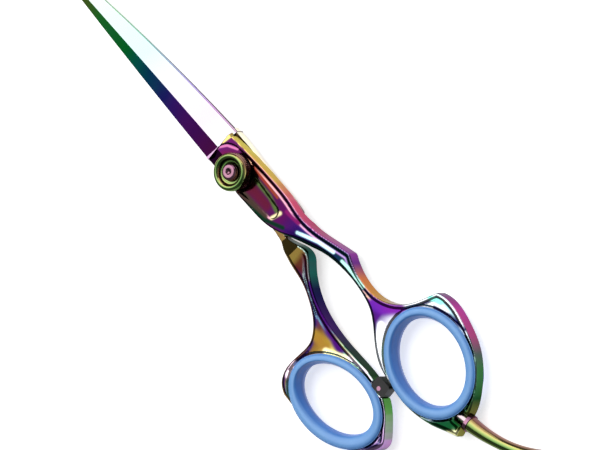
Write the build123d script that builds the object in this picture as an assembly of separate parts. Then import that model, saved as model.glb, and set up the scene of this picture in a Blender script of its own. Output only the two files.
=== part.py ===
from build123d import *
import os
from math import cos, degrees, pi, radians, sin

# Hair-thinning shears: a plain blade over a toothed blade, offset ring handles with rubber
# inserts, a knurled tension dial on the pivot and a screw-in finger rest. Millimetres.
#
# Frame: the pivot axis is Z. +X runs from the pivot to the blade tips, +Y from the pivot
# towards the thumb ring, +Z from the bolt's head up to the dial. Z = 0 is the flat outer face
# of the bolt's head. The functions below measure z from the ride plane, where the two halves
# meet, and the export lifts everything by ride_height.

os.makedirs("parts", exist_ok=True)

# ---- Driving dimensions --------------------------------------------------------------------
blade_reach = 78.0            # pivot axis to the blade tips
finger_ring_x = -69.5         # middle of the finger opening
finger_ring_y = -5.3
thumb_ring_setback = 12.5     # how much nearer the pivot the thumb opening sits
ricasso_thickness = 2.7       # each half, at the pivot
ride_gap = 0.1                # running clearance between the two ride faces
swing_radius = 19.6           # inside this radius each half keeps to its own side

handle_half_height = 2.0      # rings and shanks, either side of the ride plane
handle_round = 1.0            # rounding of the handles' outer edges
ramp_length = 5.0             # run over which a shank grows to its full thickness
step_length = 4.2             # run over which its outer face drops from the ricasso's height

finger_hole_a = 12.5          # metal hole of the finger ring, half length and half width
finger_hole_b = 10.0
finger_hole_turn = -6.0       # degrees about Z
thumb_hole_a = 12.6           # metal hole of the thumb ring
thumb_hole_b = 8.25
thumb_hole_turn = 13.0
ring_clear = 1.6              # space between the two rings' walls
ring_wall = 2.6               # wall of each ring on the side that faces the other ring
neck_wall = 2.2               # wall of the finger ring where its shank joins it

insert_lip = 1.6              # rubber lip over the ring's faces, outward from the hole
insert_proud = 0.35           # rubber lip above the ring's faces
insert_wall = 0.65            # rubber between the metal hole and the finger opening
insert_waist = 0.8            # how far the opening narrows at mid height

tooth_count = 30
tooth_first = 14.0            # where the teeth start, from the pivot axis
tooth_end_margin = 4.5        # plain steel left at the toothed blade's tip
tooth_gap_share = 0.5         # share of the pitch that is gap
tooth_root_share = 0.4        # steel left behind the gaps, as a share of the blade's width
tooth_tip_margin = 1.0        # how far the teeth stop short of the plain blade's spine
notch_depth = 0.5             # V notch in each tooth's tip

bolt_head_radius = 4.0
bolt_head_height = 0.9
key_hole_radius = 0.5         # two blind holes in the head for a pin spanner
bolt_shoulder_radius = 2.3
bolt_flat = 1.9               # axis to each of the shoulder's two flats
bolt_thread_radius = 1.7
cap_thread_radius = 0.95
fit_clearance = 0.03          # radial clearance of every turning or keyed fit
bushing_wall = 0.6
glide_radius = 4.2
glide_thickness = 0.5
washer_radius = 4.1
washer_thickness = 0.4
ratchet_radius = 4.3
ratchet_thickness = 0.5
ratchet_notches = 40
spring_radius = 4.55
spring_thickness = 0.3
spring_arms = 6
dial_radius = 4.6
dial_height = 2.3
dial_recess_radius = 3.1
dial_recess_depth = 1.2
dial_knurls = 60
cap_radius = 2.1
cap_height = 1.3
cap_socket_radius = 0.6

bumper_length = 4.3
bumper_width = 3.3            # from the finger ring towards the thumb ring
bumper_low = -1.1             # underside and top of the rubber, from the ride plane
bumper_high = 2.0
bumper_gap = 0.4              # free space left to the finger ring when closed
bumper_screw_radius = 0.55
bumper_screw_setback = 2.2    # from the bumper's nose to its screw
shelf_reach = 1.9             # how much of the bumper's width lies on the thumb ring's shelf

rest_radius = 1.95            # finger rest at the collar
rest_bend = 48.0              # radius of its curve
rest_length = 22.0            # length along its curve
rest_end_radius = 1.9
rest_waist = 0.45             # how much thinner it is halfway
rest_heading = -169.5         # direction in which it leaves the ring, degrees from +X
stud_radius = 1.2
stud_inside = 2.8             # thread in the ring's boss, and in the finger rest
stud_outside = 4.0
collar_radius = 2.2
collar_thickness = 0.9
rest_reach = 4.2              # flat end of the finger ring's boss, outward from the hole

# ---- Worked out from them ------------------------------------------------------------------
ride_height = bolt_head_height + ricasso_thickness
face = ride_gap / 2                                  # each ride face, from the ride plane
shank_start = -swing_radius
ring_start = finger_ring_x + finger_hole_a + neck_wall    # near end of the finger ring
thumb_ring_x = finger_ring_x + thumb_ring_setback
thumb_ring_y = (finger_ring_y + finger_hole_b + thumb_hole_b * cos(radians(thumb_hole_turn))
                + 2 * ring_wall + ring_clear)
bushing_radius = bolt_shoulder_radius + fit_clearance + bushing_wall
stack_base = ricasso_thickness                       # top face of the finger half
ratchet_base = stack_base + washer_thickness
spring_base = ratchet_base + ratchet_thickness
dial_base = spring_base + spring_thickness
dial_floor = dial_base + dial_height - dial_recess_depth
cap_base = dial_floor + fit_clearance


def shank_x(share):
    """X of a place on the shanks: 0 at the swing circle, 1 at the finger ring's near end."""
    return shank_start + share * (ring_start - shank_start)


def turned(x, y, turn):
    """A vector turned about Z, the turn in degrees."""
    angle = radians(turn)
    return x * cos(angle) - y * sin(angle), x * sin(angle) + y * cos(angle)


def ring_points(walls, middle_x, middle_y, hole_a, hole_b, hole_turn):
    """Points around a ring, each given as (angle from the long axis, wall outside the hole)."""
    points = []
    for angle, wall in walls:
        u = (hole_a + wall) * cos(radians(angle))
        v = (hole_b + wall) * sin(radians(angle))
        dx, dy = turned(u, v, hole_turn)
        points.append((middle_x + dx, middle_y + dy))
    return points


def finger_points(walls):
    """Points on the finger ring's outer wall."""
    return ring_points(walls, finger_ring_x, finger_ring_y, finger_hole_a, finger_hole_b,
                       finger_hole_turn)


def thumb_points(walls):
    """Points on the thumb ring's outer wall."""
    return ring_points(walls, thumb_ring_x, thumb_ring_y, thumb_hole_a, thumb_hole_b,
                       thumb_hole_turn)


def closed_face(curves):
    """The face inside a closed run of point lists: two points a line, more a spline."""
    edges = []
    for points in curves:
        edges.append(Line(*points) if len(points) == 2 else Spline(*points))
    return make_face(edges)


def ellipse_prism(middle_x, middle_y, a, b, turn, low, high):
    """An upright elliptical cylinder."""
    place = Location((middle_x, middle_y, low), (0, 0, turn))
    return extrude(place * Ellipse(a, b), high - low)


def disc(radius, low, high, hole_radius=0.0):
    """A round disc on the pivot axis, with an optional hole."""
    solid = Pos(0, 0, low) * extrude(Circle(radius), high - low)
    if hole_radius:
        solid -= Pos(0, 0, low) * extrude(Circle(hole_radius), high - low)
    return solid


def keyed_bar(clearance, low, high):
    """The bolt's shoulder: a round bar with two flats, which keys what it passes through."""
    radius = bolt_shoulder_radius + clearance
    flat = bolt_flat + clearance
    return Pos(0, 0, low) * extrude(Circle(radius) & Rectangle(4 * radius, 2 * flat), high - low)


# ---- Blades --------------------------------------------------------------------------------
def edge_y(share):
    """The plain blade's cutting edge: a gentle convex curve."""
    return -5.45 + 1.2 * share + 5.25 * share ** 2


def spine_y(share):
    """The plain blade's spine."""
    return 4.35 - 0.9 * share - 1.6 * share ** 2


def ridge_height(share):
    return 2.65 - 1.2 * share - 0.9 * share ** 2


def spine_height(share):
    return 1.3 - 0.8 * share


blade_stations = (0.06, 0.3, 0.5, 0.7, 0.87, 1.0)
toothed_inset = 0.35          # the toothed blade's spine shows this far past the cutting edge


def plain_blade():
    """A loft of four-sided sections: flat ride face, wide main bevel, narrow spine bevel."""
    sections = []
    for share in blade_stations:
        edge, spine = edge_y(share), spine_y(share)
        ridge = edge + (0.5 + 0.06 * share) * (spine - edge)
        outline = Polygon((edge, face), (spine, face), (spine - 0.15, spine_height(share)),
                          (ridge, ridge_height(share)), align=None)
        sections.append(Plane.YZ.offset(share * blade_reach) * outline)
    return loft(sections)


def toothed_blade():
    """The blade under it, its spine on the other side, with gaps cut between the teeth."""
    sections = []
    for share in blade_stations:
        spine, tips = edge_y(share) - toothed_inset * (1 - share), spine_y(share)
        tips -= tooth_tip_margin * (1 - share)
        ridge = spine + 0.36 * (tips - spine)
        outline = Polygon((spine, -face), (tips, -face), (tips, -0.35 * ridge_height(share)),
                          (ridge, -ridge_height(share)), (spine + 0.15, -spine_height(share)),
                          align=None)
        sections.append(Plane.YZ.offset(share * blade_reach) * outline)
    return loft(sections) - tooth_gaps()


def tooth_gaps():
    """Round-rooted gaps between the teeth, and a small V notch in the tip of each tooth."""
    run = blade_reach - tooth_end_margin - tooth_first
    pitch = run / tooth_count
    gap = pitch * tooth_gap_share
    depth = 2 * ricasso_thickness
    cuts = []
    for number in range(tooth_count + 1):
        x = tooth_first + number * pitch
        share = x / blade_reach
        width = spine_y(share) - edge_y(share)
        root = edge_y(share) + tooth_root_share * width + gap / 2
        far = spine_y(share) + gap
        slot = Pos(x, (root + far) / 2) * Rectangle(gap, far - root)
        slot += Pos(x, root) * Circle(gap / 2)
        cuts.append(Pos(0, 0, -depth) * extrude(slot, depth))
        if number < tooth_count:
            middle = x + pitch / 2
            share = middle / blade_reach
            tip = spine_y(share) - tooth_tip_margin * (1 - share)
            half = (pitch - gap) / 3
            notch = Polygon((middle, tip - notch_depth), (middle + half, tip + 0.3),
                            (middle - half, tip + 0.3), align=None)
            cuts.append(Pos(0, 0, -depth) * extrude(notch, depth))
    return Part() + cuts


# ---- The two halves ------------------------------------------------------------------------
# Each outline runs from the blade's heel along one side to the ring, round it and back.
# Ring points are (angle, wall outside the hole).
bumper_place = (-288, 2.6)    # where the bumper meets the finger ring's wall


def finger_shank(share, y):
    return shank_x(share), y


def thumb_shank(share, rise):
    """A point on the thumb shank, which climbs sideways to its ring."""
    return shank_x(share), rise * thumb_ring_y


def finger_outline():
    """Plan of the finger half behind its blade."""
    heel = (7.2, -5.15)
    knuckle = finger_shank(0.46, -8.15)
    shoulder, = finger_points([(-51, 5.6)])
    boss_near, boss_far = rest_face(2.4), rest_face(-4.3)
    top = [heel, (0.0, -5.7), (-9.0, -6.0), (-16.0, -5.7), finger_shank(0.06, -4.95),
           finger_shank(0.24, -6.0), knuckle]
    neck = [knuckle, finger_shank(0.575, -6.5), finger_shank(0.70, -5.8), finger_shank(0.82, -6.2)]
    neck += finger_points([(-12.6, 3.3), (-33.6, 3.25)]) + [shoulder]
    outside = [shoulder] + finger_points([(-65, 5.0), (-85, 3.4), (-109, 2.45), (-131, 1.95),
                                          (-150, 2.05), (-165, 2.8)]) + [boss_near]
    inside = [boss_far] + finger_points([(-211, 4.3), (-223, 3.3), (-242, 2.4), (-264, 2.2),
                                         bumper_place, (-302, 3.6), (-323, 5.0)])
    inside += [finger_shank(0.82, -2.3), finger_shank(0.70, -3.4), finger_shank(0.58, -3.8),
               finger_shank(0.45, -3.6), finger_shank(0.32, -2.8), finger_shank(0.17, -0.8),
               finger_shank(0.03, 1.1), (-15.0, 3.1), (-7.0, 3.7), (0.0, 3.9), (8.6, 3.5)]
    return [top, neck, outside, [boss_near, boss_far], inside, [inside[-1], heel]]


def thumb_outline():
    """Plan of the thumb half behind its blade."""
    heel = (8.0, -5.6)
    shoulder, = thumb_points([(33.5, 3.7)])
    tucked = swing_radius - 0.8          # stays inside the swing circle beside the finger shank
    corner = turned(-tucked, 0, 13.5)
    top = [heel, (4.0, -5.6), (0.0, -5.35), (-9.0, -5.1), (-15.0, -4.9), corner]
    back = [corner, (-tucked, 0.0), turned(-tucked, 0, -8)]
    inside = [back[-1], thumb_shank(0.07, 0.078), thumb_shank(0.165, 0.01),
              thumb_shank(0.23, 0.02), thumb_shank(0.29, 0.107), thumb_shank(0.38, 0.228),
              thumb_shank(0.47, 0.31), thumb_shank(0.59, 0.378)]
    inside += thumb_points([(-75.4, 4.75), (-91, 3.4), (-109, 2.9), (-129, 2.7), (-145, 2.5),
                            (-162, 2.5), (-174.5, 3.1), (-188.7, 4.2), (-203, 3.6), (-222, 2.7),
                            (-243.6, 1.6), (-266, 1.35), (-287, 1.3), (-308, 1.8)]) + [shoulder]
    outside = [shoulder] + thumb_points([(9.2, 4.0), (-16.6, 3.0), (-35.8, 4.4)])
    outside += [thumb_shank(0.52, 0.514), thumb_shank(0.44, 0.431), thumb_shank(0.31, 0.339),
                thumb_shank(0.16, 0.296), thumb_shank(0.02, 0.233), (-14.0, 3.7), (-7.0, 3.4),
                (0.0, 3.4), (8.0, 3.2)]
    return [top, back, inside, outside, [outside[-1], heel]]


def handle_body(curves, side):
    """A half behind its blade. side is 1 for the finger half (above), -1 for the thumb half."""
    plan = closed_face(curves)
    low, high = -handle_half_height, ricasso_thickness
    if side < 0:
        low, high = -ricasso_thickness, handle_half_height
    body = Pos(0, 0, low) * extrude(plan, high - low)
    thin = handle_half_height * side
    thick = ricasso_thickness * side
    far = 3 * finger_ring_x
    # The outer face steps down from the ricasso's thickness to the handle's.
    step = shank_start - step_length
    profile = Polygon((shank_start, thick), (step, thin), (far, thin), (far, 2 * thick),
                      (shank_start, 2 * thick), align=None)
    body -= extrude(Plane.XZ * profile, -finger_ring_x * 2, both=True)
    # Inside the swing circle the other side of the ride plane belongs to the other half.
    clear = Polygon((0, -side * face), (swing_radius, -side * face),
                    (swing_radius + ramp_length, -side * handle_half_height),
                    (swing_radius + ramp_length, -side * 2 * handle_half_height),
                    (0, -side * 2 * handle_half_height), align=None)
    body -= revolve(Plane.XZ * clear, Axis.Z)
    ride = Polygon((0, 0), (swing_radius, 0), (swing_radius, side * face), (0, side * face),
                   align=None)
    body -= revolve(Plane.XZ * ride, Axis.Z)
    for height, limit in ((side * handle_half_height, step + 1),
                          (-side * handle_half_height, shank_start)):
        body = rounded(body, handle_edges(body, height, limit), handle_round)
    return body


def rounded(body, edges, radius):
    """The body with these edges rounded: less, or left square, if a bend is too tight."""
    for share in (1.0, 0.7, 0.4):
        try:
            return fillet(edges, radius * share)
        except ValueError:
            continue
    return body


def handle_edges(body, height, limit):
    """The long edges of a shank and its ring on one face, on the ring's side of a limit."""
    edges = []
    for edge in body.edges().filter_by_position(Axis.Z, height - 0.001, height + 0.001):
        box = edge.bounding_box()
        if box.max.X < limit and box.size.X > 1.5:
            edges.append(edge)
    return edges


def rest_direction():
    return turned(1.0, 0.0, rest_heading)


def rest_root():
    """Where the finger rest's axis meets the flat end of the boss on the finger ring."""
    root, = finger_points([(-185.4, rest_reach)])
    return root


def rest_face(aside):
    """A point on the boss's flat end, to one side of the finger rest's axis."""
    x, y = rest_root()
    dx, dy = rest_direction()
    return x - aside * dy, y + aside * dx


def rest_plane(distance):
    """A plane across the finger rest's axis, at a distance outward from the boss's end."""
    x, y = rest_root()
    dx, dy = rest_direction()
    return Plane(origin=(x + distance * dx, y + distance * dy, 0), z_dir=(dx, dy, 0))


def finger_half():
    hole = ellipse_prism(finger_ring_x, finger_ring_y, finger_hole_a, finger_hole_b,
                         finger_hole_turn, -5, 5)
    body = handle_body(finger_outline(), 1) - hole + plain_blade()
    body -= rest_stud()
    body -= disc(bushing_radius, -1, ricasso_thickness + 1)
    body -= disc(glide_radius + fit_clearance, -1, glide_thickness / 2)
    return body


def thumb_half():
    hole = ellipse_prism(thumb_ring_x, thumb_ring_y, thumb_hole_a, thumb_hole_b,
                         thumb_hole_turn, -5, 5)
    body = handle_body(thumb_outline(), -1) + bumper_shelf() - hole + toothed_blade()
    body -= bumper_block()
    body -= bumper_screw()
    body -= keyed_bar(0.0, -ricasso_thickness - 1, 1)
    body -= disc(glide_radius + fit_clearance, -glide_thickness / 2, 1)
    return body


# ---- Bumper --------------------------------------------------------------------------------
def bumper_nose():
    """X and Y of the middle of the bumper's face, just short of the finger ring."""
    (x, y), = finger_points([bumper_place])
    return x, y + bumper_gap


def bumper_block():
    """The bumper's body, a block with rounded corners between the two rings."""
    x, y = bumper_nose()
    outline = fillet(Rectangle(bumper_length, bumper_width).vertices(), 0.6)
    block = extrude(outline, bumper_high - bumper_low)
    return Pos(x, y + bumper_width / 2, bumper_low) * block


def bumper_shelf():
    """The steel shelf on the thumb ring that the bumper is screwed down on."""
    x, y = bumper_nose()
    depth = shelf_reach + ring_wall / 2
    shelf = extrude(Rectangle(bumper_length - 0.8, depth), bumper_low + handle_half_height - 0.2)
    return Pos(x, y + bumper_width - shelf_reach + depth / 2, 0.2 - handle_half_height) * shelf


def bumper_screw():
    """Short screw down through the rubber into the shelf."""
    x, y = bumper_nose()
    low = 0.2 - handle_half_height
    screw = extrude(Circle(bumper_screw_radius), bumper_high + 0.1 - low)
    return Pos(x, y + bumper_screw_setback, low) * screw


def bumper():
    return bumper_block() - bumper_screw()


# ---- Rubber inserts ------------------------------------------------------------------------
def ring_insert(middle_x, middle_y, hole_a, hole_b, turn):
    """A rubber ring in the metal hole, with a lip over each face and a waisted opening."""
    top = handle_half_height + insert_proud
    outer = extrude(Ellipse(hole_a, hole_b), 2 * top)
    lip = extrude(Ellipse(hole_a + insert_lip, hole_b + insert_lip), insert_proud)
    body = Pos(0, 0, -top) * outer
    body += Pos(0, 0, handle_half_height) * lip
    body += Pos(0, 0, -top) * lip
    sections = []
    for z, narrowing in ((-top, 0.0), (0.0, insert_waist), (top, 0.0)):
        shrink = insert_wall + narrowing
        sections.append(Pos(0, 0, z) * Ellipse(hole_a - shrink, hole_b - shrink))
    body -= loft(sections)
    return Location((middle_x, middle_y, 0), (0, 0, turn)) * body


def finger_insert():
    return ring_insert(finger_ring_x, finger_ring_y, finger_hole_a, finger_hole_b,
                       finger_hole_turn)


def thumb_insert():
    return ring_insert(thumb_ring_x, thumb_ring_y, thumb_hole_a, thumb_hole_b, thumb_hole_turn)


# ---- Finger rest ---------------------------------------------------------------------------
def rest_section(distance, radius):
    """A round section across the finger rest, at a distance along its curve."""
    turn = distance / rest_bend
    along, aside = rest_bend * sin(turn), rest_bend * (1 - cos(turn))
    dx, dy = rest_direction()
    x, y = rest_root()
    x += dx * (collar_thickness + along) - dy * aside
    y += dy * (collar_thickness + along) + dx * aside
    heading_x, heading_y = turned(dx, dy, degrees(turn))
    return Plane(origin=(x, y, 0), z_dir=(heading_x, heading_y, 0)) * Circle(radius)


def finger_rest():
    """A bar that curves away from the thumb side, waisted, with a rounded tip."""
    sections = []
    for share in (0.0, 0.25, 0.5, 0.75, 1.0):
        radius = rest_radius + share * (rest_end_radius - rest_radius)
        sections.append(rest_section(share * rest_length, radius - rest_waist * sin(pi * share)))
    body = loft(sections)
    tip = body.faces().sort_by(Axis.X)[0]
    return fillet(tip.edges(), rest_end_radius * 0.8) - rest_stud()


def rest_stud():
    """Threaded stud between the boss and the finger rest."""
    return extrude(rest_plane(-stud_inside) * Circle(stud_radius), stud_inside + stud_outside)


def rest_collar():
    return extrude(rest_plane(0) * (Circle(collar_radius) - Circle(stud_radius)), collar_thickness)


# ---- Pivot stack, from the bolt's head up --------------------------------------------------
def pivot_bolt():
    """Flat head, keyed shoulder up through the ratchet plate, then the dial's threaded end."""
    head = disc(bolt_head_radius, -ricasso_thickness - bolt_head_height, -ricasso_thickness)
    head = fillet(head.edges().filter_by(GeomType.CIRCLE).sort_by(Axis.Z)[0], 0.3)
    body = head + keyed_bar(0.0, -ricasso_thickness, spring_base)
    body += disc(bolt_thread_radius, spring_base, dial_floor)
    for side in (1, -1):
        hole = Cylinder(key_hole_radius, bolt_head_height)
        body -= Pos(side * bolt_head_radius * 0.6, 0, -ricasso_thickness - bolt_head_height) * hole
    return body - disc(cap_thread_radius, ratchet_base - 3, dial_floor + 1)


def pivot_bushing():
    """Nylon sleeve pressed into the finger half; the bolt's shoulder turns in it."""
    return disc(bushing_radius, glide_thickness / 2, ricasso_thickness,
                bolt_shoulder_radius + fit_clearance)


def glide_washer():
    """Slip washer let into both ride faces; it turns with the thumb half."""
    half = glide_thickness / 2
    return disc(glide_radius, -half, half - fit_clearance) - keyed_bar(0.0, -1, 1)


def dial_washer():
    top = stack_base + washer_thickness
    return disc(washer_radius, stack_base + fit_clearance, top) - keyed_bar(0.0, 0, top + 1)


def ratchet_plate():
    """Keyed plate with notches around its rim for the click spring."""
    plate = disc(ratchet_radius, ratchet_base, spring_base)
    notches = []
    for number in range(ratchet_notches):
        place = Rot(0, 0, number * 360 / ratchet_notches) * Pos(ratchet_radius, 0, spring_base)
        notches.append(place * Box(0.5, 0.25, 0.3))
    return plate - notches - keyed_bar(0.0, ratchet_base - 1, spring_base + 1)


def click_spring():
    """Star washer: its arms lie in the ratchet plate's notches."""
    ring = Circle(bolt_thread_radius + 1.3) - Circle(bolt_thread_radius + fit_clearance)
    for number in range(spring_arms):
        arm = Pos(spring_radius / 2 + 1.0, 0) * Rectangle(spring_radius - 2.0, 1.3)
        ring += Rot(0, 0, number * 360 / spring_arms) * arm
    ring &= Circle(spring_radius)
    return Pos(0, 0, spring_base) * extrude(ring, spring_thickness)


def tension_dial():
    """Knurled dial with a recessed face, threaded on the bolt's end."""
    body = disc(dial_radius, dial_base + fit_clearance, dial_base + dial_height)
    rims = body.edges().filter_by(GeomType.CIRCLE).sort_by(Axis.Z)
    body = fillet(rims[-1], 0.7)
    body -= disc(dial_recess_radius, dial_floor, dial_base + dial_height + 1)
    body -= disc(bolt_thread_radius + fit_clearance, dial_base - 1, dial_floor + 1)
    cuts = []
    for number in range(dial_knurls):
        place = Rot(0, 0, number * 360 / dial_knurls) * Pos(dial_radius + 0.07, 0, dial_base)
        cuts.append(place * extrude(Rectangle(0.4, 0.4, rotation=45), dial_height - 0.5))
    return body - cuts


def cap_screw():
    """Small domed screw in the bolt's end, with a round socket; it keeps the dial on."""
    head = disc(cap_radius, cap_base, cap_base + cap_height)
    head = fillet(head.edges().filter_by(GeomType.CIRCLE).sort_by(Axis.Z)[-1], 0.6)
    head -= disc(cap_socket_radius, cap_base + cap_height - 0.5, cap_base + cap_height + 1)
    return head + disc(cap_thread_radius, ratchet_base - 2.5, cap_base)


PIECES = (finger_half, thumb_half, pivot_bolt, pivot_bushing, glide_washer, dial_washer,
          ratchet_plate, click_spring, tension_dial, cap_screw, finger_insert, thumb_insert,
          bumper, bumper_screw, finger_rest, rest_stud, rest_collar)

for piece in PIECES:
    export_step(Pos(0, 0, ride_height) * piece(), f"parts/{piece.__name__}.step")
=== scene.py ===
import bmesh
import bpy
import math
import numpy as np
from mathutils import Matrix, Vector


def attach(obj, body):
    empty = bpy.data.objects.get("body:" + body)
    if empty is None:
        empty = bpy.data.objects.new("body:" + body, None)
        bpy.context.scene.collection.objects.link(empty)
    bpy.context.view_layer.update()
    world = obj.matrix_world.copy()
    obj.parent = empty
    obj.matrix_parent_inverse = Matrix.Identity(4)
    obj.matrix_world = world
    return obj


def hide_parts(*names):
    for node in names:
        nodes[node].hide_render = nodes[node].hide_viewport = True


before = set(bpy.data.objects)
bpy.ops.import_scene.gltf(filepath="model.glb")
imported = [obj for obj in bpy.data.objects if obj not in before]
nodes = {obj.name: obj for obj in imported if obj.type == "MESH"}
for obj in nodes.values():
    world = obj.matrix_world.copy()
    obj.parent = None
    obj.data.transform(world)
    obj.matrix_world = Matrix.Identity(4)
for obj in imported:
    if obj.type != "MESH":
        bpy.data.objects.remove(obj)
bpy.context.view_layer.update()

# ---- Finger half ---------------------------------------------------------------------------
# The upper half: plain blade, ricasso, shank and finger ring, forged in one piece of steel,
# ground, mirror polished and coated with a rainbow titanium film. The blade keeps the CAD
# node's own ground faces; the handle is carved here, since the forging is round and sculpted.
# The handle's colours mix the film's hues with painted highlights, painted reflections and painted
# shade.
ride_plane = 3.6            # mm, where the two halves meet
ricasso_height = 2.7        # the thick part round the pivot, above the ride plane
handle_height = 2.0         # shanks and rings, either side of the ride plane
swing_radius = 19.6         # inside this each half keeps to its own side of the ride plane
ramp_run = 5.5              # run over which a shank grows across the ride plane
blade_heel = 7.9            # the ground blade starts here
handle_end = 9.5            # the handle is carved this far in under the blade
skin_clearance = 0.04       # the carved skin lies this far inside the CAD outline
groove_inset = 1.3          # middle of the ground groove, in from the outline
groove_width = 0.42
groove_depth = 0.22
lip_width = 1.9             # flat seat round each opening for the rubber's lip
lip_depth = 0.3
wide_edge = 0.9             # extra rounding on the side of a shank away from its groove
cell = 0.2                  # mesh size of the carved handles


def level_cut(node, height):
    """The outline of a CAD node cut level at a height above the ride plane: segments in mm."""
    mesh = nodes[node].data
    mesh.calc_loop_triangles()
    points = np.array([v.co for v in mesh.vertices]) * 1000
    corners = points[np.array([t.vertices for t in mesh.loop_triangles])]
    corners[:, :, 2] -= ride_plane + height
    above = corners[:, :, 2] > 0
    segments = []
    for triangle in corners[above.any(axis=1) & ~above.all(axis=1)]:
        ends = []
        for first, second in ((0, 1), (1, 2), (2, 0)):
            a, b = triangle[first], triangle[second]
            if (a[2] > 0) != (b[2] > 0):
                ends.append((a + (b - a) * a[2] / (a[2] - b[2]))[:2])
        segments.append(ends)
    return np.array(segments)


def depth_map(segments, xs, ys):
    """How deep inside an outline each point of a grid lies; negative outside."""
    gx, gy = np.meshgrid(xs, ys, indexing="ij")
    p = np.stack([gx.ravel(), gy.ravel()], axis=1)
    best = np.full(len(p), 1e9)
    crossings = np.zeros(len(p), int)
    for a, b in segments:
        run = b - a
        length = max(run @ run, 1e-12)
        share = np.clip(((p - a) @ run) / length, 0, 1)
        gap = p - a - share[:, None] * run
        best = np.minimum(best, (gap ** 2).sum(axis=1))
        spans = (a[1] > p[:, 1]) != (b[1] > p[:, 1])
        if spans.any() and a[1] != b[1]:
            crossings += spans & (p[:, 0] < a[0] + (p[:, 1] - a[1]) * run[0] / run[1])
    depth = np.sqrt(best) * np.where(crossings % 2, 1, -1)
    return depth.reshape(gx.shape)


def softened(grid, passes):
    """A grid of values smoothed a little, so the polished surface has no facets."""
    for _ in range(passes):
        grid = np.pad(grid, 1, mode="edge")
        grid = (grid[:-2] + 2 * grid[1:-1] + grid[2:]) / 4
        grid = (grid[:, :-2] + 2 * grid[:, 1:-1] + grid[:, 2:]) / 4
    return grid


def looked_up(grid, xs, ys, x, y):
    """Values between the points of a grid."""
    i = np.clip((x - xs[0]) / (xs[1] - xs[0]), 0, len(xs) - 1.001)
    j = np.clip((y - ys[0]) / (ys[1] - ys[0]), 0, len(ys) - 1.001)
    a, b = i.astype(int), j.astype(int)
    u, v = i - a, j - b
    return ((1 - u) * (1 - v) * grid[a, b] + u * (1 - v) * grid[a + 1, b]
            + (1 - u) * v * grid[a, b + 1] + u * v * grid[a + 1, b + 1])


def eased(value, start, end):
    """0 before start, 1 after end, and a smooth rise between."""
    t = np.clip((value - start) / (end - start), 0, 1)
    return t * t * (3 - 2 * t)


def larger(a, b, blend):
    """The larger of two fields, with the edge between them polished round."""
    h = np.clip(0.5 + 0.5 * (a - b) / blend, 0, 1)
    return b + (a - b) * h + blend * h * (1 - h) / 2


def carved(field, low, high):
    """The closed surface where a field is zero: corners in mm and four-sided faces."""
    axes = [np.arange(a, b, cell) for a, b in zip(low, high)]
    gx, gy, gz = np.meshgrid(*axes, indexing="ij")
    values = field(gx.ravel(), gy.ravel(), gz.ravel()).reshape(gx.shape)
    inside = values < 0
    shape = np.array(values.shape)
    total = np.zeros((int(np.prod(shape)), 3))
    count = np.zeros(int(np.prod(shape)))
    quads = []
    for axis in range(3):
        near, far = [slice(None)] * 3, [slice(None)] * 3
        near[axis], far[axis] = slice(0, -1), slice(1, None)
        a, b = values[tuple(near)], values[tuple(far)]
        cut = np.argwhere(inside[tuple(near)] != inside[tuple(far)])
        others = [k for k in range(3) if k != axis]
        cut = cut[(cut[:, others] > 0).all(axis=1)]
        va, vb = a[tuple(cut.T)], b[tuple(cut.T)]
        place = cut.astype(float)
        place[:, axis] += va / (va - vb)
        corners = []
        for step_a, step_b in ((0, 0), (1, 0), (1, 1), (0, 1)):
            box = cut.copy()
            box[:, others[0]] -= step_a
            box[:, others[1]] -= step_b
            index = np.ravel_multi_index(tuple(box.T), shape)
            np.add.at(total, index, place)
            np.add.at(count, index, 1)
            corners.append(index)
        quad = np.stack(corners, axis=1)
        flip = (va < 0) == (axis != 1)
        quad[~flip] = quad[~flip][:, ::-1]
        quads.append(quad)
    quads = np.concatenate(quads)
    used, faces = np.unique(quads, return_inverse=True)
    points = total[used] / count[used][:, None] * cell + np.array(low)
    return points, faces.reshape(quads.shape)


def slope(field, points):
    """The direction in which a field grows, at each point."""
    step = 0.02
    grown = []
    for axis in range(3):
        ahead, behind = points.copy(), points.copy()
        ahead[:, axis] += step
        behind[:, axis] -= step
        grown.append((field(*ahead.T) - field(*behind.T)) / (2 * step))
    return np.stack(grown, axis=1)


def polished(field, points):
    """Points drawn on to the field's surface, and the surface's own directions there."""
    for _ in range(4):
        grown = slope(field, points)
        size = np.maximum((grown ** 2).sum(axis=1), 0.05)
        move = grown * (field(*points.T) / size)[:, None]
        points = points - np.clip(move, -cell, cell)
    grown = slope(field, points)
    return points, grown / np.linalg.norm(grown, axis=1)[:, None]


def linear(colour):
    """A colour as the eye names it (sRGB, 0-255) as light amounts."""
    return [((c / 255 + 0.055) / 1.055) ** 2.4 if c > 10 else c / 255 / 12.92 for c in colour]


def along(x, stops):
    """A colour at each place along the shears, from (place, colour) stops: film hues, with painted
    highlights and shade in some bands.
    """
    stops = sorted(stops)
    places = [place for place, _ in stops]
    colours = np.array([linear(colour) for _, colour in stops])
    return np.column_stack([np.interp(x, places, colours[:, k]) for k in range(3)])


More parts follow.
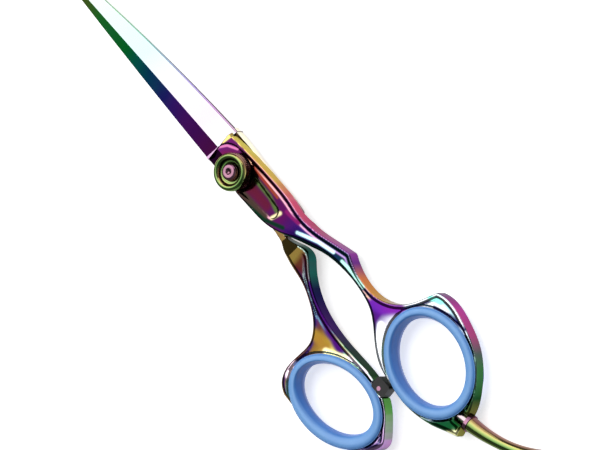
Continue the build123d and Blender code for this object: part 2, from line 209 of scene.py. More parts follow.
def film_and_painted_light_colours(points, facing, depth, bands, patches):
    """The coating's colour at each point, with painted light in it. The film drifts along each band
    of the forging (top, groove, edge, near wall, far wall); patches are paths with a width and a
    colour. Pale stops and patches are painted highlights and reflections, the groove band is
    painted shade and the edge band a painted highlight along the ridge."""
    x, sideways, upward = points[:, 0], facing[:, 1], facing[:, 2]
    colours = along(x, bands["top"])
    # Band masks: the groove band is painted shade and the edge band a painted highlight along the
    # ridge; the finger half's far band is painted shade too.
    groove = np.exp(-((depth - 1.25) / 0.5) ** 2) * bands["groove_share"](x)
    near = eased(-sideways, 0.45, 0.8)
    edge = np.exp(-((sideways + 0.45) / 0.16) ** 2) * eased(upward, 0.5, 0.8)
    far = eased(sideways, 0.2, 0.6)
    for share, band in ((groove, "groove"), (edge, "edge"), (near, "near"), (far, "far")):
        colours += (along(x, bands[band]) - colours) * share[:, None]
    # Patches lay film hues, painted highlights and reflections, and painted shade along their
    # paths.
    for path, width, colour in patches:
        reach = np.full(len(points), 1e9)
        ends = np.array(path, float)
        for a, b in zip(ends, ends[1:]):
            run = b - a
            share = np.clip(((points[:, :2] - a) @ run) / (run @ run), 0, 1)
            gap = points[:, :2] - a - share[:, None] * run
            reach = np.minimum(reach, (gap ** 2).sum(axis=1))
        weight = np.exp(-(reach / width ** 2) ** 2) * eased(upward, 0.3, 0.7)
        colours += (np.array(linear(colour)) - colours) * weight[:, None]
    return colours


def coated_piece(name, points, faces, facing, colours, material):
    """A mesh object from corners in mm above the ride plane, with its colours: film hues with
    painted highlights, reflections and shade.
    """
    mesh = bpy.data.meshes.new(name)
    placed = (points + np.array([0, 0, ride_plane])) / 1000
    mesh.from_pydata(placed.tolist(), [], faces.tolist())
    mesh.polygons.foreach_set("use_smooth", [True] * len(mesh.polygons))
    # The 'film' attribute holds the film's hues together with painted highlights, reflections and
    # shade.
    film = mesh.attributes.new("film", "FLOAT_COLOR", "POINT")
    film.data.foreach_set("color", np.column_stack([colours, np.ones(len(colours))]).ravel())
    mesh.update()
    mesh.normals_split_custom_set_from_vertices(facing.tolist())
    mesh.materials.append(material)
    piece = bpy.data.objects.new(name, mesh)
    bpy.context.collection.objects.link(piece)
    return piece


def node_material(name):
    """A new material's node tree, its main shader, and a function that adds a node."""
    material = bpy.data.materials.new(name)
    material.use_nodes = True
    tree = material.node_tree
    shader = tree.nodes["Principled BSDF"]

    def add(kind, **settings):
        node = tree.nodes.new("ShaderNode" + kind)
        for key, value in settings.items():
            if key in node.inputs:
                node.inputs[key].default_value = value
            else:
                setattr(node, key, value)
        return node
    return material, tree.links.new, shader, add


def coating_material(name, colour_of):
    """Mirror-polished steel under the titanium film. colour_of adds the nodes for its colour,
    painted highlights, reflections and shade included.
    """
    material, link, shader, add = node_material(name)
    place = add("TexCoord")
    colour = colour_of(link, add, place)
    drift = add("TexNoise", Scale=90.0, Detail=3.0, Roughness=0.55)
    link(place.outputs["Object"], drift.inputs["Vector"])
    shift = add("MapRange")
    for socket, value in (("From Min", 0.3), ("From Max", 0.7), ("To Min", 0.47), ("To Max", 0.53)):
        shift.inputs[socket].default_value = value
    link(drift.outputs["Fac"], shift.inputs["Value"])
    tint = add("HueSaturation")
    link(shift.outputs["Result"], tint.inputs["Hue"])
    link(colour, tint.inputs["Color"])
    link(tint.outputs["Color"], shader.inputs["Base Color"])
    shader.inputs["Metallic"].default_value = 1.0
    shader.inputs["Specular Tint"].default_value = (0.6, 0.6, 0.6, 1)
    handled = add("TexNoise", Scale=260.0, Detail=5.0, Roughness=0.65)
    link(place.outputs["Object"], handled.inputs["Vector"])
    gloss = add("MapRange")
    for socket, value in (("From Min", 0.3), ("From Max", 0.75), ("To Min", 0.09), ("To Max", 0.2)):
        gloss.inputs[socket].default_value = value
    link(handled.outputs["Fac"], gloss.inputs["Value"])
    link(gloss.outputs["Result"], shader.inputs["Roughness"])
    stretch = add("Mapping")
    stretch.inputs["Scale"].default_value = (300.0, 5000.0, 5000.0)
    link(place.outputs["Object"], stretch.inputs["Vector"])
    grain = add("TexNoise", Scale=1.0, Detail=2.0)
    link(stretch.outputs["Vector"], grain.inputs["Vector"])
    bump = add("Bump", Strength=0.02, Distance=0.0001)
    link(grain.outputs["Fac"], bump.inputs["Height"])
    link(bump.outputs["Normal"], shader.inputs["Normal"])
    return material


def film_and_painted_light_attribute(link, add, place):
    """The colours worked out on the mesh: film hues with painted highlights, reflections and shade.
    """
    return add("Attribute", attribute_name="film").outputs["Color"]


# Handle material: film hues with painted highlights, reflections and shade from the mesh's colours.
handle_film_and_painted_light = coating_material("handle_film_and_painted_light", film_and_painted_light_attribute)


def colour_steps(add, steps):
    """A colour ramp node with a stop at each (place, colour)."""
    ramp = add("ValToRGB").color_ramp
    while len(ramp.elements) < len(steps):
        ramp.elements.new(0.5)
    for element, (place, colour) in zip(ramp.elements, steps):
        element.position = place
        element.color = (*linear(colour), 1)
    return ramp.id_data.nodes[-1]


def blade_film_and_painted_light(link, add, place):
    """Along the blade the spine bevel runs through the rainbow; the main bevel stays pale as a
    painted reflection of the lamp, and walls facing the -Y side are painted dark as shade.
    """
    split = add("SeparateXYZ")
    link(place.outputs["Object"], split.inputs["Vector"])
    reach = add("MapRange")
    reach.inputs["From Max"].default_value = 0.078
    link(split.outputs["X"], reach.inputs["Value"])
    spine = colour_steps(add, ((0.08, (150, 40, 120)), (0.2, (120, 36, 160)),
                               (0.32, (70, 50, 190)), (0.44, (20, 120, 160)),
                               (0.56, (16, 176, 96)), (0.7, (60, 190, 80)),
                               (0.84, (150, 140, 50)), (1.0, (170, 40, 60))))
    # Pale colours of the main bevel: a painted reflection of the lamp over faint film tints.
    main = colour_steps(add, ((0.1, (182, 178, 184)), (0.2, (188, 170, 188)),
                              (0.34, (182, 176, 190)), (0.5, (162, 187, 189)),
                              (0.66, (167, 189, 181)), (1.0, (187, 183, 175))))
    link(reach.outputs["Result"], spine.inputs["Fac"])
    link(reach.outputs["Result"], main.inputs["Fac"])
    facing = add("SeparateXYZ")
    link(place.outputs["Normal"], facing.inputs["Vector"])
    side = add("MapRange")
    for socket, value in (("From Min", -0.1), ("From Max", 0.1)):
        side.inputs[socket].default_value = value
    link(facing.outputs["Y"], side.inputs["Value"])
    mix = add("Mix", data_type="RGBA")
    link(side.outputs["Result"], mix.inputs["Factor"])
    link(main.outputs["Color"], mix.inputs[6])
    link(spine.outputs["Color"], mix.inputs[7])
    # Walls facing the -Y side get a dark colour: painted shade.
    under = add("MapRange")
    for socket, value in (("From Min", -0.75), ("From Max", -0.9)):
        under.inputs[socket].default_value = value
    link(facing.outputs["Y"], under.inputs["Value"])
    painted_shade = add("Mix", data_type="RGBA")
    painted_shade.inputs[7].default_value = (*linear((62, 44, 50)), 1)
    link(under.outputs["Result"], painted_shade.inputs["Factor"])
    link(mix.outputs[2], painted_shade.inputs[6])
    return painted_shade.outputs[2]


blade_coating_and_painted_light = coating_material("blade_coating_and_painted_light", blade_film_and_painted_light)


def blade_of(node, piece_name):
    """The ground blade, copied from the CAD node and cut square across at the heel."""
    mesh = nodes[node].data.copy()
    mesh.name = piece_name
    blade = bpy.data.objects.new(piece_name, mesh)
    bpy.context.collection.objects.link(blade)
    shell = bmesh.new()
    shell.from_mesh(mesh)
    geometry = shell.verts[:] + shell.edges[:] + shell.faces[:]
    bmesh.ops.bisect_plane(shell, geom=geometry, plane_co=(blade_heel / 1000, 0, 0),
                           plane_no=(1, 0, 0), clear_inner=True)
    shell.to_mesh(mesh)
    shell.free()
    mesh.materials.clear()
    mesh.materials.append(blade_coating_and_painted_light)
    return blade


def joined(name, pieces):
    """Several meshes of one real piece made into one object."""
    with bpy.context.temp_override(active_object=pieces[0], selected_editable_objects=pieces):
        bpy.ops.object.join()
    pieces[0].name = name
    return pieces[0]


def capsule(x, y, start, end, radius_start, radius_end):
    """Distance outside a tapering stroke on the plan."""
    run_x, run_y = end[0] - start[0], end[1] - start[1]
    share = ((x - start[0]) * run_x + (y - start[1]) * run_y) / (run_x ** 2 + run_y ** 2)
    share = np.clip(share, 0, 1)
    gap = np.hypot(x - start[0] - share * run_x, y - start[1] - share * run_y)
    return gap - (radius_start + share * (radius_end - radius_start))


plan_x = np.arange(-90, 16, cell)
plan_y = np.arange(-24, 38, cell)


def plan_maps(node, height):
    """Depth inside a half's outline, and which way it grows: the outer side is positive."""
    depth = softened(depth_map(level_cut(node, height), plan_x, plan_y), 2)
    across = softened(np.gradient(depth, cell, axis=1), 1)
    return depth, across


finger_depth, finger_across = plan_maps("finger_half", 0.3)
finger_ring = (-69.5, -5.3, 12.5, 10.0, -6.0)     # opening: middle, half sizes, turn
thumb_ring = (-57.0, 19.54, 12.6, 8.25, 13.0)


def lip_seat(x, y, ring):
    """How far the steel round an opening is let down for the rubber's lip, 0 to 1."""
    middle_x, middle_y, half_length, half_width, turn = ring
    turn = math.radians(turn)
    u = (x - middle_x) * math.cos(turn) + (y - middle_y) * math.sin(turn)
    v = (y - middle_y) * math.cos(turn) - (x - middle_x) * math.sin(turn)
    across = np.hypot(u / (half_length + lip_width), v / (half_width + lip_width))
    return 1 - eased(across, 0.99, 1.03)


edge_rounding = 0.5
under_rounding = 0.9
recess_depth = 0.25         # tapering recess along the ricasso, behind the knob
knob_seat_depth = 0.3
runout_start = 7.85         # where the ricasso drops to the blade
runout_slope = 3.0


def finger_groove_share(x):
    """The finger half's groove fades in just behind the pivot."""
    return eased(-x, -3, 3)


def finger_handle(x, y, z):
    """Distance outside the finger half's steel behind its blade."""
    depth = looked_up(finger_depth, plan_x, plan_y, x, y)
    outer = eased(looked_up(finger_across, plan_x, plan_y, x, y), -0.9, 0.7)
    ricasso = eased(x, -25, -18)
    top = handle_height + (ricasso_height - handle_height) * ricasso
    recess = capsule(x, y, (-2, 0.0), (-13.6, -0.3), 3.0, 1.7)
    top = top - recess_depth * (1 - eased(recess, -0.3, 0.3))
    groove = np.exp(-((depth - groove_inset) / groove_width) ** 2) * outer
    top = top - groove_depth * groove * finger_groove_share(x)
    seat = capsule(x, y, (0, 0), (3.4, 0.4), 4.7, 4.7)
    top = top - knob_seat_depth * (1 - eased(seat, -0.2, 0.35))
    bevel = 2.6 - 0.27 * np.maximum(y + 0.64, 0)
    top = top + (np.minimum(top, bevel) - top) * eased(x, 0.5, 3.5)
    top = top - lip_depth * lip_seat(x, y, finger_ring)
    runout = ricasso_height - runout_slope * (x - runout_start)
    top = -larger(-top, -np.maximum(runout, -0.5), 0.35)
    rounding = edge_rounding + (1 - outer) * (1 - ricasso) * wide_edge
    bend = np.maximum(rounding - depth, 0)
    over = np.maximum(z - (top - rounding), 0)
    upper = np.sqrt(bend ** 2 + over ** 2) - rounding
    under = np.maximum(-handle_height + under_rounding - z, 0)
    lower = np.sqrt(np.maximum(under_rounding - depth, 0) ** 2 + under ** 2) - under_rounding
    radius = np.hypot(x, y)
    floor = 0.05 - (handle_height + 0.4) * np.clip((radius - swing_radius) / ramp_run, 0, 1)
    solid = larger(larger(upper, lower, 0.1), (floor - z) * 0.9, 0.1)
    return larger(solid, x - handle_end, 0.05) + skin_clearance


# Colour stops along each band, film hues with painted light among them: the white top stops by the
# finger opening and the whole edge band are painted highlights, the groove and far bands painted
# shade.
finger_film_and_painted_light_bands = {
    "near": [(8, (186, 166, 70)), (-8, (184, 156, 66)), (-16, (180, 70, 92)),
             (-24, (170, 64, 116)), (-34, (140, 60, 140)), (-38, (92, 40, 116)),
             (-42, (186, 106, 62)), (-50, (190, 140, 50)), (-55, (120, 50, 80)),
             (-60, (90, 34, 100)), (-66, (160, 52, 124)), (-73, (150, 60, 110)),
             (-77, (70, 84, 80)), (-80, (48, 104, 60)), (-84, (52, 112, 56)),
             (-88, (100, 90, 44))],
    "edge": [(8, (220, 190, 110)), (-16, (214, 150, 170)), (-36, (160, 130, 190)),
             (-50, (200, 160, 90)), (-60, (150, 220, 200)), (-74, (150, 150, 190)),
             (-88, (120, 170, 110))],
    "groove": [(3, (60, 16, 40)), (-10, (70, 10, 30)), (-20, (30, 10, 70)),
               (-30, (14, 16, 60)), (-40, (10, 44, 54)), (-50, (60, 20, 80)),
               (-60, (20, 20, 70)), (-72, (16, 20, 70)), (-82, (8, 50, 30))],
    "groove_share": finger_groove_share,
    "top": [(8, (78, 18, 80)), (-4, (58, 20, 36)), (-14, (62, 12, 60)), (-17, (64, 10, 62)),
            (-22, (34, 16, 84)), (-28, (12, 18, 60)), (-36, (4, 40, 50)),
            (-46, (44, 14, 74)), (-52, (66, 16, 100)), (-57, (222, 226, 232)),
            (-70, (222, 226, 232)), (-79, (60, 110, 90)), (-84, (14, 60, 30)),
            (-88, (150, 140, 60))],
    "far": [(5, (10, 30, 20)), (-10, (10, 30, 20)), (-20, (10, 60, 40)),
            (-30, (10, 72, 58)), (-44, (12, 66, 60)), (-56, (30, 110, 90)),
            (-70, (90, 130, 60)), (-80, (20, 80, 30)), (-88, (110, 120, 50))],
}
# Patches along paths: some set film hues, the pale and white ones are painted highlights and
# reflections, and the darkest ones painted shade.
finger_film_and_painted_light_patches = [
    ([(8.0, -2.2), (7.0, -6.3)], 0.5, (226, 204, 112)),
    ([(8.2, 1.0), (7.9, -0.5), (6.4, -2.5), (3.7, -3.9)], 0.3, (170, 96, 140)),
    ([(5.0, 2.5), (5.5, 0.0), (3.0, -2.0)], 1.3, (84, 18, 60)),
    ([(-3.6, 0.6), (-4.4, -0.8), (-4.2, -1.6)], 0.45, (150, 110, 110)),
    ([(-2.5, -4.1), (-7.5, -3.9), (-12.5, -3.7)], 0.35, (112, 50, 28)),
    ([(-4, 2.6), (-13, 1.9)], 0.9, (50, 42, 34)),
    ([(-4.5, -2.4), (-10.7, -2.3), (-14.3, -1.3)], 0.7, (58, 78, 40)),
    ([(-5.5, 0.1), (-11.5, 0.0)], 1.3, (70, 18, 32)),
    ([(-14.6, 0.9), (-15.6, -1.6)], 0.5, (196, 186, 140)),
    ([(-16.6, -3.1), (-20.8, -3.4)], 0.5, (96, 18, 72)),
    ([(-6.7, 3.6), (-13.5, 2.6), (-18.5, 0.3)], 0.55, (8, 34, 24)),
    ([(-22.0, -1.5), (-27.6, -3.9), (-32.4, -5.2)], 0.42, (176, 214, 220)),
    ([(-35.6, -5.3), (-39.4, -5.4), (-44.0, -5.1)], 0.45, (150, 206, 190)),
    ([(-48.5, -4.2), (-52.0, -5.6), (-55, -8.6)], 1.5, (86, 26, 126)),
    ([(-53.8, -2.2), (-57.0, 3.0), (-61.0, 5.2)], 1.0, (226, 230, 236)),
    ([(-59.0, -16.4), (-62.0, -17.6)], 0.7, (120, 210, 190)),
    ([(-61.5, -15.6), (-66.0, -17.2), (-71.0, -17.6)], 0.6, (24, 20, 74)),
    ([(-81.0, 4.0), (-85.5, -1.8)], 1.6, (12, 60, 26)),
    ([(-84.5, 3.0), (-86.6, 0.8)], 0.8, (226, 222, 170)),
]


def handle_piece(name, field, low, high, depth_of, bands, patches):
    """One half's handle: carved, polished and coated, with painted highlights, reflections and
    shade in its colours.
    """
    points, faces = carved(field, low, high)
    points, facing = polished(field, points)
    depth = looked_up(depth_of, plan_x, plan_y, points[:, 0], points[:, 1])
    colours = film_and_painted_light_colours(points, facing, depth, bands, patches)
    return coated_piece(name, points, faces, facing, colours, handle_film_and_painted_light)


handle = handle_piece("finger_handle", finger_handle, (-88, -22, -3.0), (10.5, 9.5, 3.4),
                      finger_depth, finger_film_and_painted_light_bands, finger_film_and_painted_light_patches)
finger_half = joined("finger_half_steel", [handle, blade_of("finger_half", "finger_blade")])
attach(finger_half, "finger_side")
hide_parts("finger_half")

# ---- Thumb half ----------------------------------------------------------------------------
# The lower half: toothed blade, shank and thumb ring, forged, ground and coated like the
# finger half. Its shank climbs sideways, so the thumb ring sits beside the finger ring.
thumb_depth, thumb_across = plan_maps("thumb_half", -0.3)


thumb_wide_edge = 1.0
thumb_under_rounding = 0.7


def thumb_groove_share(x):
    """The thumb half's groove starts where its shank comes out from under the other half."""
    return eased(-x, 25, 30)


def thumb_handle(x, y, z):
    """Distance outside the thumb half's steel behind its blade."""
    depth = looked_up(thumb_depth, plan_x, plan_y, x, y)
    outer = eased(looked_up(thumb_across, plan_x, plan_y, x, y), -0.4, 0.4)
    ricasso = eased(x, -25, -18)
    bottom = handle_height + (ricasso_height - handle_height) * ricasso
    groove = np.exp(-((depth - groove_inset) / groove_width) ** 2) * outer
    top = handle_height - groove_depth * groove * thumb_groove_share(x)
    top = top - lip_depth * lip_seat(x, y, thumb_ring)
    rounding = edge_rounding + (1 - outer) * thumb_wide_edge
    bend = np.maximum(rounding - depth, 0)
    over = np.maximum(z - (top - rounding), 0)
    upper = np.sqrt(bend ** 2 + over ** 2) - rounding
    under = np.maximum(-bottom + thumb_under_rounding - z, 0)
    bend_under = np.maximum(thumb_under_rounding - depth, 0)
    lower = np.sqrt(bend_under ** 2 + under ** 2) - thumb_under_rounding
    radius = np.hypot(x, y)
    ceiling = -0.05 + (handle_height + 0.4) * np.clip((radius - swing_radius) / ramp_run, 0, 1)
    solid = larger(larger(upper, lower, 0.1), (z - ceiling) * 0.9, 0.1)
    return larger(solid, x - handle_end, 0.05) + skin_clearance


# Colour stops along each band, film hues with painted light among them: the near-white near-wall
# stops by the pivot are a painted reflection of the white floor, the pale top stops on the ring and
# the edge band painted highlights, the groove band painted shade.
thumb_film_and_painted_light_bands = {
    "near": [(8, (244, 236, 214)), (-12, (244, 230, 216)), (-18, (120, 80, 90)),
             (-22, (30, 92, 76)), (-31, (24, 84, 74)), (-34, (14, 16, 60)),
             (-44, (50, 10, 84)), (-52, (4, 36, 28)), (-60, (4, 48, 20)), (-66, (84, 150, 70)),
             (-73, (76, 140, 60)), (-78, (140, 80, 130))],
    "edge": [(8, (90, 70, 90)), (-25, (200, 230, 220)), (-40, (90, 130, 150)),
             (-52, (120, 200, 170)), (-62, (150, 220, 190)), (-75, (190, 170, 210))],
    "groove": [(-24, (60, 20, 30)), (-34, (20, 20, 60)), (-44, (40, 20, 80)),
               (-54, (10, 50, 44)), (-62, (16, 40, 60)), (-75, (50, 30, 90))],
    "groove_share": thumb_groove_share,
    "top": [(8, (80, 60, 70)), (-19, (104, 84, 44)), (-25.5, (96, 76, 36)),
            (-27, (66, 22, 20)), (-33, (60, 18, 44)), (-39, (56, 18, 86)),
            (-42, (80, 42, 34)), (-45, (116, 92, 34)), (-49, (186, 168, 92)),
            (-56, (222, 208, 220)), (-70, (206, 170, 212)), (-76, (130, 80, 150))],
    "far": [(8, (60, 50, 60)), (-20, (140, 116, 60)), (-30, (96, 56, 44)),
            (-40, (104, 54, 60)), (-45, (150, 120, 70)), (-52, (90, 50, 70)),
            (-62, (80, 46, 84)), (-76, (40, 50, 96))],
}
# Patches along paths: the three near-white ones are painted highlights; the others set film hues,
# the darkest of them painted shade.
thumb_film_and_painted_light_patches = [
    ([(-29.0, 0.9), (-33.3, 2.6)], 0.6, (80, 170, 150)),
    ([(-33.0, 4.6), (-44.3, 9.2), (-50.0, 10.2)], 1.1, (52, 12, 84)),
    ([(-41.5, 12.4), (-46.0, 11.8)], 1.5, (124, 96, 34)),
    ([(-47.0, 13.0), (-52.0, 10.5)], 0.9, (240, 232, 170)),
    ([(-50.0, 8.2), (-59.6, 7.6)], 0.5, (16, 66, 54)),
    ([(-52.6, 9.4), (-58.5, 8.6)], 0.5, (240, 226, 236)),
    ([(-43.3, 24.2), (-42.8, 21.5)], 1.0, (240, 214, 234)),
]
handle = handle_piece("thumb_handle", thumb_handle, (-75, -7.5, -3.4), (10.5, 34, 3.0),
                      thumb_depth, thumb_film_and_painted_light_bands, thumb_film_and_painted_light_patches)
thumb_half = joined("thumb_half_steel", [handle, blade_of("thumb_half", "thumb_blade")])
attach(thumb_half, "thumb_side")
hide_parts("thumb_half")

# ---- Pivot stack ---------------------------------------------------------------------------
# A bolt through both halves with nylon bushing and glide washer, then a steel washer, ratchet
# plate and click spring, the knurled tension dial that screws down on them, and a domed cap
# screw that keeps the dial on. The dial and the cap screw are turned on a lathe and coated.
def turned_steel_painted_by_facing(name, steps):
    """Lathe-turned coated steel whose colour is painted lighter and darker by the way it faces:
    painted highlight and painted shade over the film's hues.
    """
    def colour_of(link, add, place):
        # Colour by how each face turns to one fixed direction: painted highlight and painted shade.
        painted_light_facing = add("VectorMath", operation="DOT_PRODUCT")
        painted_light_facing.inputs[1].default_value = (-0.45, 0.5, 0.74)
        link(place.outputs["Normal"], painted_light_facing.inputs[0])
        spread = add("MapRange")
        spread.inputs["From Min"].default_value = -1.0
        link(painted_light_facing.outputs["Value"], spread.inputs["Value"])
        shades = colour_steps(add, steps)
        link(spread.outputs["Result"], shades.inputs["Fac"])
        return shades.outputs["Color"]
    return coating_material(name, colour_of)


# Stops by facing: painted highlights and painted shade over the coating's hues.
dial_coating_painted_light = turned_steel_painted_by_facing("dial_coating_painted_light", ((0.2, (176, 140, 128)), (0.5, (96, 70, 48)),
                                             (0.66, (170, 160, 96)), (0.78, (130, 150, 90)),
                                             (0.9, (60, 92, 44)), (0.98, (96, 116, 64))))
cap_coating_painted_light = turned_steel_painted_by_facing("cap_coating_painted_light", ((0.3, (60, 40, 50)), (0.6, (120, 80, 100)),
                                           (0.8, (150, 108, 126)), (1.0, (112, 84, 100))))


def swept_piece(name, points, count, material, outward_first=False):
    """A smooth closed skin over rings of corners, count to a ring, in mm above the ride plane."""
    around, faces = len(points) // count, []
    for step in range(around):
        here, there = step * count, (step + 1) % around * count
        for k in range(count):
            after = (k + 1) % count
            if outward_first:
                faces.append((here + k, here + after, there + after, there + k))
            else:
                faces.append((here + k, there + k, there + after, here + after))
    mesh = bpy.data.meshes.new(name)
    mesh.from_pydata([(x / 1000, y / 1000, (z + ride_plane) / 1000) for x, y, z in points],
                     [], faces)
    mesh.polygons.foreach_set("use_smooth", [True] * len(mesh.polygons))
    mesh.materials.append(material)
    piece = bpy.data.objects.new(name, mesh)
    bpy.context.collection.objects.link(piece)
    return piece


def lathed(name, profile, material, around, knurl=None):
    """A turned piece on the pivot axis from (radius, height) pairs above the ride plane."""
    points = []
    for turn in range(around):
        angle = 2 * math.pi * turn / around
        for index, (radius, height) in enumerate(profile):
            if knurl:
                radius += knurl(index, turn)
            points.append((radius * math.cos(angle), radius * math.sin(angle), height))
    return swept_piece(name, points, len(profile), material)


def arc(middle_r, middle_z, radius_r, radius_z, start, end, steps):
    """Points of a rounded corner, for a profile."""
    turns = [math.radians(start + (end - start) * k / steps) for k in range(steps + 1)]
    return [(middle_r + radius_r * math.cos(t), middle_z + radius_z * math.sin(t)) for t in turns]


dial_profile = ([(1.75, 3.95), (4.3, 3.95)]
                + [(4.42, height) for height in (4.05, 4.25, 4.5, 4.75, 5.0, 5.2)]
                + arc(3.78, 5.2, 0.8, 0.98, 0, 180, 20)
                + [(2.94, 5.06), (2.6, 5.02), (1.75, 5.02)])


dial_steps = 480
knurl_height = 0.16
steps_a_knurl = 8


def dial_knurl(index, turn):
    """How far the dial's side wall stands out in a knurl; nothing on its other faces."""
    if 2 <= index <= 7:
        return knurl_height * abs(math.sin(math.pi * turn / steps_a_knurl)) ** 0.7
    return 0.0


dial = lathed("tension_dial_knurled", dial_profile, dial_coating_painted_light, dial_steps, dial_knurl)
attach(dial, "dial")
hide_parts("tension_dial")

cap_profile = ([(0.0, 4.2), (0.9, 4.2), (0.9, 5.03), (2.0, 5.03), (2.08, 5.12), (2.08, 5.5)]
               + arc(1.3, 5.5, 0.78, 0.8, 0, 85, 12) + [(0.72, 6.32), (0.62, 6.26), (0.6, 5.9),
                                                        (0.0, 5.85)])
cap = lathed("cap_screw_domed", cap_profile, cap_coating_painted_light, 120)
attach(cap, "thumb_side")
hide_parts("cap_screw")


def plain_material(name, colour, metallic, roughness, bump_size=600.0, bump_depth=0.05):
    """Uncoated metal, nylon or rubber: slight mottling, worn gloss and a fine surface."""
    material, link, shader, add = node_material(name)
    place = add("TexCoord")
    cloud = add("TexNoise", Scale=120.0, Detail=4.0)
    link(place.outputs["Object"], cloud.inputs["Vector"])
    shade = add("ValToRGB")
    low, high = shade.color_ramp.elements
    tone = np.array(linear(colour))
    low.position, low.color = 0.3, (*(tone * 0.86), 1)
    high.position, high.color = 0.7, (*np.minimum(tone * 1.12, 1), 1)
    link(cloud.outputs["Fac"], shade.inputs["Fac"])
    link(shade.outputs["Color"], shader.inputs["Base Color"])
    shader.inputs["Metallic"].default_value = metallic
    gloss = add("MapRange")
    gloss.inputs["To Min"].default_value = roughness * 0.8
    gloss.inputs["To Max"].default_value = roughness * 1.25
    link(cloud.outputs["Fac"], gloss.inputs["Value"])
    link(gloss.outputs["Result"], shader.inputs["Roughness"])
    fine = add("TexNoise", Scale=bump_size * 4, Detail=3.0)
    link(place.outputs["Object"], fine.inputs["Vector"])
    bump = add("Bump", Strength=bump_depth, Distance=0.0001)
    link(fine.outputs["Fac"], bump.inputs["Height"])
    link(bump.outputs["Normal"], shader.inputs["Normal"])
    return material


def finished(node, material):
    """The finish of a piece that keeps its CAD shape."""
    nodes[node].data.materials.clear()
    nodes[node].data.materials.append(material)


plain_steel = plain_material("plain_steel", (176, 160, 164), 1.0, 0.2)
nylon = plain_material("nylon", (222, 220, 208), 0.0, 0.45)
# The bolt takes the cap's coating, its colour painted lighter and darker by facing as highlight and
# shade.
for node, material in (("pivot_bolt", cap_coating_painted_light), ("pivot_bushing", nylon),
                       ("glide_washer", nylon), ("dial_washer", plain_steel),
                       ("ratchet_plate", plain_steel), ("click_spring", plain_steel)):
    finished(node, material)

# ---- Rubber inserts ------------------------------------------------------------------------
# A soft blue ring moulded with a rounded lip on both faces, pressed into each finger opening
# so that its lips grip the steel. It is plain rubber, a little glossy where fingers rub it.
def rubber_blue_with_painted_light(link, add, place):
    """The rubber's blue, paler on its crown as a painted highlight and deeper on the inner wall as
    painted shade.
    """
    # Colour by how far each face turns upward: a painted highlight on the crown, painted shade on
    # the inner wall.
    painted_light_facing = add("VectorMath", operation="DOT_PRODUCT")
    painted_light_facing.inputs[1].default_value = (0.1, 0.1, 0.99)
    link(place.outputs["Normal"], painted_light_facing.inputs[0])
    shades = colour_steps(add, ((0.0, (44, 96, 172)), (0.3, (60, 118, 196)),
                                (0.75, (84, 140, 210)), (0.96, (118, 172, 234))))
    link(painted_light_facing.outputs["Value"], shades.inputs["Fac"])
    return shades.outputs["Color"]


insert_rubber, link, shader, add = node_material("insert_rubber")
place = add("TexCoord")
cloud = add("TexNoise", Scale=260.0, Detail=5.0)
link(place.outputs["Object"], cloud.inputs["Vector"])
mottle = add("MixRGB", blend_type="SOFT_LIGHT")
mottle.inputs["Fac"].default_value = 0.3
link(rubber_blue_with_painted_light(link, add, place), mottle.inputs["Color1"])
link(cloud.outputs["Fac"], mottle.inputs["Color2"])
link(mottle.outputs["Color"], shader.inputs["Base Color"])
gloss = add("MapRange")
gloss.inputs["To Min"].default_value = 0.28
gloss.inputs["To Max"].default_value = 0.45
link(cloud.outputs["Fac"], gloss.inputs["Value"])
link(gloss.outputs["Result"], shader.inputs["Roughness"])
fine = add("TexNoise", Scale=3000.0, Detail=3.0)
link(place.outputs["Object"], fine.inputs["Vector"])
bump = add("Bump", Strength=0.12, Distance=0.0001)
link(fine.outputs["Fac"], bump.inputs["Height"])
link(bump.outputs["Normal"], shader.inputs["Normal"])
insert_section = ([(0.0, -1.55), (0.0, 1.55), (0.9, 1.62), (1.56, 1.72), (1.58, 1.9)]
                  + arc(0.35, 1.55, 1.22, 0.79, 22, 90, 8)
                  + arc(0.35, 1.2, 1.3, 1.14, 98, 160, 7)
                  + [(-1.12, 0.9), (-1.3, 0.45), (-1.38, 0.0), (-1.3, -0.45), (-1.12, -0.9)]
                  + arc(0.35, -1.2, 1.3, 1.14, 200, 262, 7)
                  + arc(0.35, -1.55, 1.22, 0.79, 270, 338, 8)
                  + [(1.58, -1.9), (1.56, -1.72), (0.9, -1.62)])


ring_steps = 200


def rubber_ring(name, ring, shift, section, body, node):
    """A moulded ring pressed in an opening: the section swept round the ellipse, with the
    inner wall shifted a little to one side."""
    middle_x, middle_y, half_length, half_width, turn = ring
    turn, points = math.radians(turn), []
    for step in range(ring_steps):
        angle = 2 * math.pi * step / ring_steps
        u, v = half_length * math.cos(angle), half_width * math.sin(angle)
        out_u, out_v = half_width * math.cos(angle), half_length * math.sin(angle)
        size = math.hypot(out_u, out_v)
        for outward, height in section:
            inner = min(max(-outward / 0.9, 0), 1)
            pu = u + outward * out_u / size + inner * shift[0]
            pv = v + outward * out_v / size + inner * shift[1]
            points.append((middle_x + pu * math.cos(turn) - pv * math.sin(turn),
                           middle_y + pu * math.sin(turn) + pv * math.cos(turn), height))
    piece = swept_piece(name, points, len(section), insert_rubber, outward_first=True)
    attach(piece, body)
    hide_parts(node)


rubber_ring("finger_insert_rubber", finger_ring, (0.45, 0.1), insert_section,
            "finger_side", "finger_insert")
rubber_ring("thumb_insert_rubber", thumb_ring, (0.6, -0.35), insert_section,
            "thumb_side", "thumb_insert")

# ---- Bumper --------------------------------------------------------------------------------
# A block of black rubber screwed to the thumb ring, which meets the finger ring as the shears
# close and keeps them quiet. Its small coated screw goes in from above.
black_rubber = plain_material("black_rubber", (9, 9, 10), 0.0, 0.5, 500.0, 0.1)
finished("bumper", black_rubber)
# The screw takes the cap's coating, its colour painted lighter and darker by facing as highlight
# and shade.
finished("bumper_screw", cap_coating_painted_light)

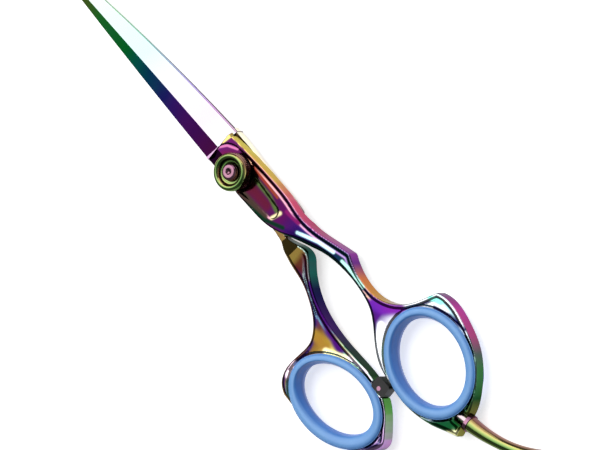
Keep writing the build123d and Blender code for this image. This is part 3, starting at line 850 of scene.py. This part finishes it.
# ---- Finger rest ---------------------------------------------------------------------------
# A curved, tapering bar for the little finger, turned and bent from steel and coated. It
# screws on a plain stud in the finger ring's boss, against a thin coated collar.
# The rest and its collar take the dial's and the cap's coatings, their colours painted lighter and
# darker by facing as highlight and shade.
finished("finger_rest", dial_coating_painted_light)
finished("rest_stud", plain_steel)
finished("rest_collar", cap_coating_painted_light)

# ---- Studio --------------------------------------------------------------------------------
# White paper, a large soft lamp that the polished tops mirror towards the camera, a weak lamp
# from the near side, and a camera on a long lens so that the view is almost without depth.
scene = bpy.context.scene
scene.view_settings.view_transform = "Standard"


def area_light(name, direction, distance, size, power):
    """A round soft lamp that faces the shears from a direction."""
    light = bpy.data.lights.new(name, "AREA")
    light.shape, light.size = "DISK", size
    light.energy = power
    lamp = bpy.data.objects.new(name, light)
    place = Vector(direction).normalized()
    lamp.location = place * distance
    lamp.rotation_mode = "QUATERNION"
    lamp.rotation_quaternion = place.to_track_quat("Z", "Y")
    bpy.context.collection.objects.link(lamp)


area_light("softbox", (0.42, -0.03, 0.82), 0.9, 1.15, 7.2)
area_light("side_fill", (0.35, -0.9, 0.45), 1.0, 0.9, 3)

world = bpy.data.worlds.new("studio")
world.use_nodes = True
world.node_tree.nodes["Background"].inputs["Color"].default_value = (1, 1, 1, 1)
world.node_tree.nodes["Background"].inputs["Strength"].default_value = 0.22
scene.world = world

half = 3
mesh = bpy.data.meshes.new("floor")
mesh.from_pydata([(-half, -half, 0), (half, -half, 0), (half, half, 0), (-half, half, 0)],
                 [], [(0, 1, 2, 3)])
floor = bpy.data.objects.new("floor", mesh)
bpy.context.collection.objects.link(floor)
floor.location.z = -0.0002
paper, link, shader, add = node_material("paper")
shader.inputs["Base Color"].default_value = (0.92, 0.92, 0.92, 1)
shader.inputs["Roughness"].default_value = 0.9
shader.inputs["Emission Color"].default_value = (1, 1, 1, 1)
shader.inputs["Emission Strength"].default_value = 0.6
mesh.materials.append(paper)

sensor_width = 36
lens = 700
view_width = 0.141          # metres across the frame at the shears
middle_right = 0.013395     # the frame's middle, from the pivot
middle_down = 0.012455
camera_data = bpy.data.cameras.new("camera")
camera_data.lens = lens
camera = bpy.data.objects.new("camera", camera_data)
bpy.context.collection.objects.link(camera)
right = Vector((-0.596, -0.5777, -0.5578)).normalized()
upward = Vector((0.696, -0.718, 0)).normalized()
back = right.cross(upward)
pivot = Vector((0, 0, ride_plane / 1000))
centre = pivot + right * middle_right - upward * middle_down
camera.location = centre + back * (view_width * lens / sensor_width)
camera.rotation_mode = "QUATERNION"
camera.rotation_quaternion = Matrix((right, upward, back)).transposed().to_quaternion()
camera_data.clip_start, camera_data.clip_end = 0.1, 10
scene.camera = camera
